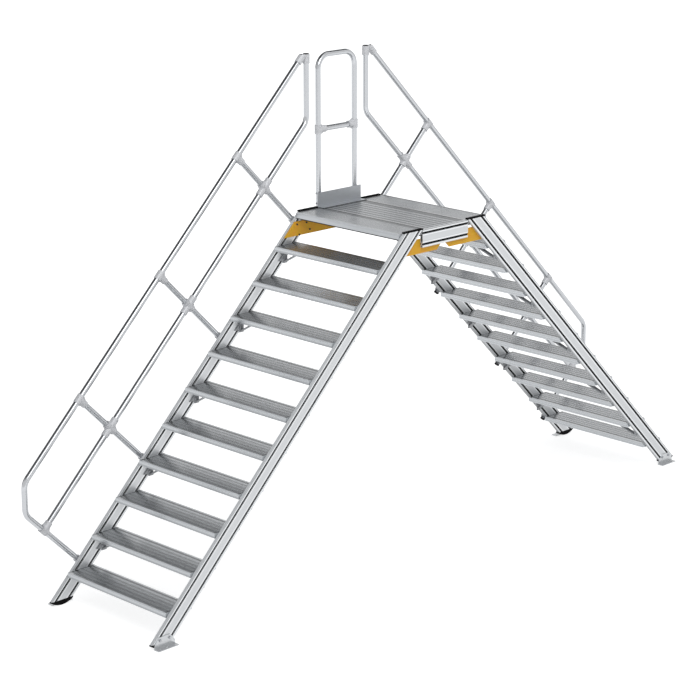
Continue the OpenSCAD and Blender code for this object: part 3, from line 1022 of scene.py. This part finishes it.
@dataclass
class Studio:
    """Floor, world, lamps and the camera of the photograph.

    Attributes:
        focal_px: Focal length in pixels of the picture.
        picture_px: Width and height of the picture.
        eye: Place of the camera.
        yaw: Heading of the camera in radians.
        pitch: Downward tilt in radians.
        roll: Roll in radians.
        floor_r: Radius of the floor.
        floor_drop: Depth of the floor under the feet.
        pale_from: Distances between which the floor turns from pale to white.
        ceiling: Rise of a reflected ray between which the dim ceiling begins.
        back_wall: Depth of a reflected ray between which the dim back wall begins.
        dim: Colour of the ceiling and the back wall in reflections.
        light: Colour of the even light of the room.
        light_power: Strength of that light.
        lamps: Soft boxes.
    """

    focal_px: float = 2233.55
    picture_px: float = 696.0
    eye: tuple[float, float, float] = (-11.06523, -10.64686, 5.62612)
    yaw: float = -0.785019
    pitch: float = 0.271459
    roll: float = -0.000930
    floor_r: float = 60.0
    floor_drop: float = 0.0005
    pale_from: Span = (3.0, 9.0)
    ceiling: Span = (0.46, 0.70)
    back_wall: Span = (0.76, 0.90)
    dim: Colour = (0.08, 0.083, 0.086)
    light: Colour = (0.96, 0.98, 1.0)
    light_power: float = 0.40
    lamps: tuple[SoftBox, ...] = (SoftBox("front_box", (-4.5, -6.5, 8.9), 6.0, 330.0),
                                  SoftBox("top_box", (2.0, -3.0, 10.0), 8.0, 160.0))

    def camera(self) -> None:
        """Sets the camera from the fitted view."""
        data = bpy.data.cameras.new("photo_camera")
        data.sensor_width = 36.0
        data.lens = self.focal_px / self.picture_px * data.sensor_width
        data.clip_end = 200.0
        camera = bpy.data.objects.new("photo_camera", data)
        bpy.context.scene.collection.objects.link(camera)
        ahead = Vector((-math.sin(self.yaw) * math.cos(self.pitch), math.cos(self.yaw) * math.cos(self.pitch),
                        -math.sin(self.pitch)))
        right = Vector((math.cos(self.yaw), math.sin(self.yaw), 0.0))
        up = right.cross(ahead)
        c, k = math.cos(self.roll), math.sin(self.roll)
        side, top = c * right + k * up, -k * right + c * up
        turn = Matrix((side, top, -ahead)).transposed()
        camera.matrix_world = Matrix.Translation(Vector(self.eye)) @ turn.to_4x4()
        bpy.context.scene.camera = camera

    def floor(self) -> None:
        """Lays a white floor that keeps a soft shadow."""
        bm = bmesh.new()
        bmesh.ops.create_circle(bm, cap_ends=True, segments=96, radius=self.floor_r)
        mesh = bpy.data.meshes.new("studio_floor")
        bm.to_mesh(mesh)
        bm.free()
        floor = bpy.data.objects.new("studio_floor", mesh)
        floor.location.z = -self.floor_drop
        bpy.context.scene.collection.objects.link(floor)
        s = Shader(bpy.data.materials.new("studio_floor"))
        away = s.node("ShaderNodeVectorMath", {"operation": "LENGTH"}, {0: s.place()}, "Value")
        cloud = s.noise(s.place(), scale=0.5, detail=2.0)
        dull = s.node("ShaderNodeBsdfDiffuse", None, {"Color": s.mix(cloud, grey(0.70), grey(0.72))})
        white = s.mix(away.ramp(*self.pale_from), grey(0.76), grey(1.0))
        glow = s.node("ShaderNodeEmission", None, {"Color": white, "Strength": 1.0})
        both = s.node("ShaderNodeAddShader", None, {0: dull, 1: glow})
        s.output(s.node("ShaderNodeMixShader", None, {0: self.seen(s), 1: dull, 2: both}))
        mesh.materials.append(s.owner)

    def ray(self, s: Shader, kind: str) -> Val:
        """One for rays of a kind."""
        return s.node("ShaderNodeLightPath", None, None, f"Is {kind} Ray")

    def seen(self, s: Shader) -> Val:
        """One for camera, glossy and transmission rays."""
        return self.ray(s, "Camera") + self.ray(s, "Glossy") + self.ray(s, "Transmission") > 0.5

    def world(self) -> None:
        """White surroundings that mirror a dim ceiling and back wall, plain soft light on the object."""
        world = bpy.data.worlds.new("studio_world")
        bpy.context.scene.world = world
        s = Shader(world)
        x, y, z = s.parts(s.node("ShaderNodeTexCoord", None, None, "Generated"))
        front = (x * -0.6 + y * -0.8).ramp(0.15, 0.75)
        overhead = z.ramp(0.75, 1.0) * 0.5
        ceiling = z.ramp(*self.ceiling) * (1 - front * (1 - overhead))
        dark = 1 - (1 - ceiling) * (1 - y.ramp(*self.back_wall))
        room = s.mix(dark * self.ray(s, "Glossy"), grey(1.0), self.dim)
        plain = s.node("ShaderNodeBackground", None, {"Color": rgba(self.light), "Strength": self.light_power})
        white = s.node("ShaderNodeBackground", None, {"Color": room, "Strength": 1.0})
        mixed = s.node("ShaderNodeMixShader", None, {0: self.seen(s), 1: plain, 2: white})
        s.output(mixed, "ShaderNodeOutputWorld")

    def build(self) -> None:
        """Sets the whole studio."""
        bpy.context.scene.view_settings.view_transform = "Standard"
        self.camera()
        self.floor()
        self.world()
        for lamp in self.lamps:
            lamp.build()
        log.info("studio set")


@dataclass(frozen=True)
class Turned:
    """Solid of stacked rings.

    Attributes:
        rings: Radius and height of each ring.
        sides: Corners of a ring.
    """

    rings: tuple[Span, ...]
    sides: int

    def add(self, bm: bmesh.types.BMesh, turn: Matrix) -> None:
        """Adds the solid to a mesh.

        Args:
            bm: Mesh to add to.
            turn: Place and direction; the rings stack along its Z axis.
        """
        angles = [2 * math.pi * k / self.sides for k in range(self.sides)]
        loops = [[bm.verts.new(turn @ Vector((r * math.cos(a), r * math.sin(a), h))) for a in angles]
                 for r, h in self.rings]
        bm.faces.new(loops[0][::-1])
        bm.faces.new(loops[-1])
        for low, high in zip(loops, loops[1:]):
            for k in range(self.sides):
                n = (k + 1) % self.sides
                bm.faces.new((low[k], low[n], high[n], high[k]))


@dataclass(frozen=True)
class Fastener:
    """Common part of the bolts and screws."""

    def solids(self) -> list[Turned]:
        """Solids of the head, stacked from the seat; every kind has its own."""
        raise NotImplementedError

    def add(self, bm: bmesh.types.BMesh, at: Vector, axis: Vector) -> None:
        """Adds one fastener to a mesh.

        Args:
            bm: Mesh to add to.
            at: Middle of the seat.
            axis: Way that the head points.
        """
        turn = Vector((0.0, 0.0, 1.0)).rotation_difference(axis).to_matrix().to_4x4()
        for solid in self.solids():
            solid.add(bm, Matrix.Translation(at) @ turn)


@dataclass(frozen=True)
class HexBolt(Fastener):
    """Hexagon head on a round washer.

    Attributes:
        flats: Size across the flats.
        head: Height of the head.
        washer: Diameter of the washer.
        plate: Thickness of the washer.
    """

    flats: float
    head: float
    washer: float
    plate: float = 0.002

    def solids(self) -> list[Turned]:
        """Washer and head.

        Returns:
            The solids.
        """
        r, t, corner = self.washer / 2, self.plate, self.flats / math.sqrt(3)
        top = t + self.head
        return [Turned(((r, 0.0), (r, 0.75 * t), (0.94 * r, t)), 20),
                Turned(((corner, 0.5 * t), (corner, top - 0.15 * self.head), (0.86 * corner, top)), 6)]


@dataclass(frozen=True)
class ButtonScrew(Fastener):
    """Domed screw head with a socket in its top.

    Attributes:
        width: Diameter of the head.
        head: Height of the head.
    """

    width: float
    head: float

    def solids(self) -> list[Turned]:
        """Domed head.

        Returns:
            The solid.
        """
        r, h = self.width / 2, self.head
        dome = ((r, 0.0), (r, 0.25 * h), (0.86 * r, 0.7 * h), (0.55 * r, h))
        socket = ((0.45 * r, h), (0.42 * r, 0.45 * h))
        return [Turned(dome + socket, 16)]


def mirrored(point: Vector, right: bool, near: bool) -> Vector:
    """Point or direction of the far left corner carried to another corner.

    Args:
        point: Point or direction at the far left.
        right: Whether it goes to the right flight.
        near: Whether it goes to the near side.

    Returns:
        The carried point or direction.
    """
    return Vector((-point.x if right else point.x, -point.y if near else point.y, point.z))


FAR_CORNERS = ((False, False), (True, False))
ALL_CORNERS = ((False, False), (False, True), (True, False), (True, True))
OUTWARD, INWARD = Vector((0.0, 1.0, 0.0)), Vector((0.0, -1.0, 0.0))
DOWNWARD, SIDEWARD = Vector((0.0, 0.0, -1.0)), Vector((-1.0, 0.0, 0.0))


@dataclass
class Assembly:
    """Common part of the sub-assemblies.

    Attributes:
        finishes: Materials to dress with.
    """

    finishes: Finishes

    def dress(self, finish: Finish, *nodes: str) -> None:
        """Gives CAD nodes their finish.

        Args:
            finish: Finish to use.
            nodes: Names of the nodes.
        """
        material = self.finishes.get(finish)
        for node in nodes:
            obj = frame["nodes"][node]
            if not obj.material_slots:
                obj.data.materials.append(material)
            for slot in obj.material_slots:
                slot.material = material
            log.info("%s dressed with %s", node, finish.name)

    def fasten(self, name: str, kind: Fastener, seats: list[Seat], finish: Finish = ZINC,
               corners: tuple[tuple[bool, bool], ...] = ALL_CORNERS) -> None:
        """Builds a set of fasteners as one piece.

        Args:
            name: Piece's name.
            kind: Bolt or screw to repeat.
            seats: Seat and direction of each one at the far left corner.
            finish: Finish of the fasteners.
            corners: Corners that have them.
        """
        bm = bmesh.new()
        for at, axis in seats:
            for right, near in corners:
                kind.add(bm, mirrored(at, right, near), mirrored(axis, right, near))
        mesh = bpy.data.meshes.new(name)
        bm.to_mesh(mesh)
        bm.free()
        mesh.materials.append(self.finishes.get(finish))
        piece = bpy.data.objects.new(name, mesh)
        bpy.context.scene.collection.objects.link(piece)
        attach(piece, "root")
        log.info("%s built, %d of them", name, len(seats) * len(corners))


@dataclass
class Flight(Assembly):
    """One flight: stringers and treads.

    Attributes:
        side: Which flight.
    """

    side: Side

    def build(self) -> None:
        """Dresses the flight."""
        name = self.side.value
        self.dress(SLOPED_PROFILE, f"{name}_stringer_near", f"{name}_stringer_far")
        self.dress(TREAD_DECK, *(f"{name}_tread_{number:02d}" for number in range(1, SIZES.tread_count + 1)))


@dataclass
class Bridge(Assembly):
    """Platform, side beams, gussets, caps and toe board.

    Attributes:
        gusset_t: Thickness of a gusset.
        gusset_bolts: Place from the middle and depth under the platform of each gusset bolt.
        bolt: Kind of the gusset bolts.
    """

    gusset_t: float = 0.006
    gusset_bolts: tuple[Span, ...] = ((0.440, 0.085), (0.347, 0.085), (0.419, 0.162), (0.316, 0.138),
                                      (0.190, 0.101), (0.070, 0.101))
    bolt: HexBolt = HexBolt(flats=0.010, head=0.0060, washer=0.013)

    def build(self) -> None:
        """Dresses the bridge and bolts its gussets."""
        self.dress(PLATFORM_DECK, "platform_plank_left", "platform_plank_middle", "platform_plank_right")
        self.dress(LEVEL_PROFILE, "side_beam_near", "side_beam_far")
        self.dress(YELLOW, "gusset_plates")
        self.dress(BLACK, "top_caps")
        self.dress(TOE_SHEET, "toe_board")
        inner = SIZES.half_w - self.gusset_t
        seats = [(Vector((-x, inner, SIZES.platform_h - down)), INWARD) for x, down in self.gusset_bolts]
        self.fasten("gusset_bolts", self.bolt, seats, DARK_ZINC)


@dataclass
class Feet(Assembly):
    """Shoes, floor brackets and tread braces.

    Attributes:
        bracket_t: Thickness of a bracket.
        bracket_h: Height of a bracket's upright leaf.
        bracket_shift: Middle of a bracket from the middle of its stringer.
        bolt_z: Height of the bracket bolts.
        bolt_pitch: Distance between a bracket's two bolts.
        bracket_bolt: Kind of the bracket bolts.
        brace_t: Thickness of a brace.
        brace_reach: Reach of a brace from the stringer.
        brace_foot: Length of a brace's foot.
        brace_foot_x: Middle of that foot behind the nosing.
        plate_bolt_down: Bolt of a brace's plate under the tread's surface.
        brace_step: Steps from one braced tread to the next.
        brace_bolt: Kind of the brace bolts.
    """

    bracket_t: float = 0.006
    bracket_h: float = 0.077
    bracket_shift: float = 0.013
    bolt_z: float = 0.056
    bolt_pitch: float = 0.079
    bracket_bolt: HexBolt = HexBolt(flats=0.015, head=0.0065, washer=0.020)
    brace_t: float = 0.008
    brace_reach: float = 0.163
    brace_foot: float = 0.034
    brace_foot_x: float = 0.1707
    plate_bolt_down: float = 0.098
    brace_step: int = 2
    brace_bolt: HexBolt = HexBolt(flats=0.013, head=0.0055, washer=0.018)

    def bracket_seats(self) -> list[Seat]:
        """Seats of a bracket's two bolts.

        Returns:
            Seats at the far left foot.
        """
        half_h = self.bracket_h / 2
        middle = (SIZES.front_x(half_h) + SIZES.rear_x(half_h)) / 2 + self.bracket_shift
        y = SIZES.outer_y + self.bracket_t
        return [(Vector((middle + side * self.bolt_pitch / 2, y, self.bolt_z)), OUTWARD) for side in (-1, 1)]

    def brace_seats(self) -> list[Seat]:
        """Seats of the bolts in the plate and the foot of each brace.

        Returns:
            Seats along the far left stringer.
        """
        seats = []
        back = (-SIZES.slot_n(1) - self.plate_bolt_down * math.cos(SIZES.pitch)) / math.sin(SIZES.pitch)
        plate_y = SIZES.half_w - self.brace_t
        foot_y = SIZES.half_w - self.brace_reach + self.brace_foot / 2
        for number in range(SIZES.tread_count, 0, -self.brace_step):
            nose, top = SIZES.tread_x(number), number * SIZES.rise
            foot_z = top - SIZES.tread_h - self.brace_t
            seats.append((Vector((nose + back, plate_y, top - self.plate_bolt_down)), INWARD))
            seats.append((Vector((nose + self.brace_foot_x, foot_y, foot_z)), DOWNWARD))
        return seats

    def build(self) -> None:
        """Dresses the feet and the braces and bolts them."""
        self.dress(BLACK, "foot_shoes")
        self.dress(POLISHED, "foot_brackets")
        self.dress(BRACE, "tread_braces")
        self.fasten("foot_bolts", self.bracket_bolt, self.bracket_seats())
        self.fasten("brace_bolts", self.brace_bolt, self.brace_seats())


@dataclass
class Railing(Assembly):
    """Handrails, hoop, posts, clamps, saddles and plugs.

    Attributes:
        saddle_len: Length of a saddle from ear to ear.
        saddle_t: Thickness of its ears.
        ear_in: Middle of an ear from the saddle's end.
        post_first: First post below the platform nosing, along the slope.
        post_pitch: Distance between posts.
        post_count: Posts along a flight.
        end_pitch: Distance from the last post to the handrail's end.
        saddle_bolt: Kind of the saddle bolts.
        hoop_half: Middle of a hoop leg from the middle of the bridge.
        screw_up: Heights of the hoop's screws above the platform.
        hoop_screw: Kind of the hoop's screws.
    """

    saddle_len: float = 0.096
    saddle_t: float = 0.005
    ear_in: float = 0.011
    post_first: float = 0.040
    post_pitch: float = 1.008
    post_count: int = 3
    end_pitch: float = 0.819
    saddle_bolt: HexBolt = HexBolt(flats=0.013, head=0.0055, washer=0.018)
    hoop_half: float = 0.1804
    screw_up: Span = (0.022, 0.095)
    hoop_screw: ButtonScrew = ButtonScrew(width=0.014, head=0.006)

    def saddle_seats(self) -> list[Seat]:
        """Seats of the bolts in all saddles of the left half.

        Returns:
            Seats on the far stringer and the far side beam.
        """
        ear = self.saddle_len / 2 - self.ear_in
        y = SIZES.outer_y + self.saddle_t
        places = [-self.post_first - k * self.post_pitch for k in range(self.post_count)]
        places.append(places[-1] - self.end_pitch)
        points = [SIZES.on_flight(s + side * ear, SIZES.slot_n(k), y)
                  for s in places for k in (0, 1) for side in (-1, 1)]
        beam_z = SIZES.platform_h - SIZES.stringer_depth / 2
        points += [Vector((-self.hoop_half + side * ear, y, beam_z + k * SIZES.slot_pitch / 2))
                   for k in (-1, 1) for side in (-1, 1)]
        return [(point, OUTWARD) for point in points]

    def screw_seats(self) -> list[Seat]:
        """Seats of the screws in the left hoop leg.

        Returns:
            Seats on the leg's outer side.
        """
        x = -self.hoop_half - SIZES.tube_r
        return [(Vector((x, SIZES.rail_y, SIZES.platform_h + up)), SIDEWARD) for up in self.screw_up]

    def build(self) -> None:
        """Dresses the railing and bolts its saddles and its hoop."""
        self.dress(TUBE, "guard_hoop", "guard_cross_tube", "left_handrail", "left_knee_rail", "right_handrail",
                   "right_knee_rail", "rail_posts")
        self.dress(CAST, "rail_clamps", "post_saddles")
        self.dress(BLACK, "tube_plugs")
        self.fasten("saddle_bolts", self.saddle_bolt, self.saddle_seats(), corners=FAR_CORNERS)
        self.fasten("hoop_screws", self.hoop_screw, self.screw_seats(), corners=FAR_CORNERS)


def main() -> None:
    """Builds the studio and every sub-assembly in order."""
    logging.basicConfig(level=logging.INFO, format="%(name)s: %(message)s")
    Studio().build()
    finishes = Finishes()
    flights = [Flight(finishes, side) for side in Side]
    for assembly in (*flights, Bridge(finishes), Feet(finishes), Railing(finishes)):
        assembly.build()


if __name__ == "__main__":
    main()
